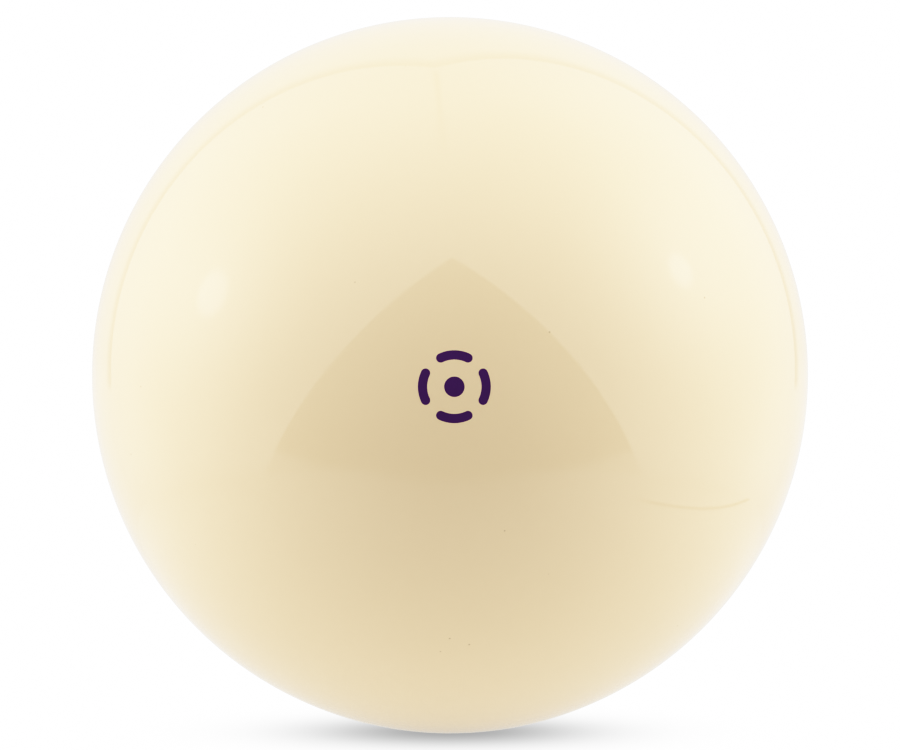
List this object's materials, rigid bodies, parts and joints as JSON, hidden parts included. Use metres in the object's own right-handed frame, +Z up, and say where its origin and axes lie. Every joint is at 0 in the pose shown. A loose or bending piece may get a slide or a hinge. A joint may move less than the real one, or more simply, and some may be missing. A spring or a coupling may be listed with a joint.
{
  "type": "cue ball",
  "caption": "Solid ivory-coloured cue ball for pool, cast in resin and polished, with a small purple broken-ring mark inlaid flush on one side.",
  "frame": {"origin": "the ball's centre", "axes": "+Z up from the point the ball rests on, -Y out through the middle of the mark, +X to the right of someone who looks at the mark"},
  "size_m": [0.0572, 0.0572, 0.0572],
  "materials": {
    "ball_resin": "polished",
    "mark_resin": "gloss"
  },
  "bodies": {
    "root": {"ball_body": "ball_resin", "mark_arc_top": "mark_resin", "mark_arc_right": "mark_resin", "mark_arc_bottom": "mark_resin", "mark_arc_left": "mark_resin", "mark_dot": "mark_resin"}
  },
  "joints": []
}
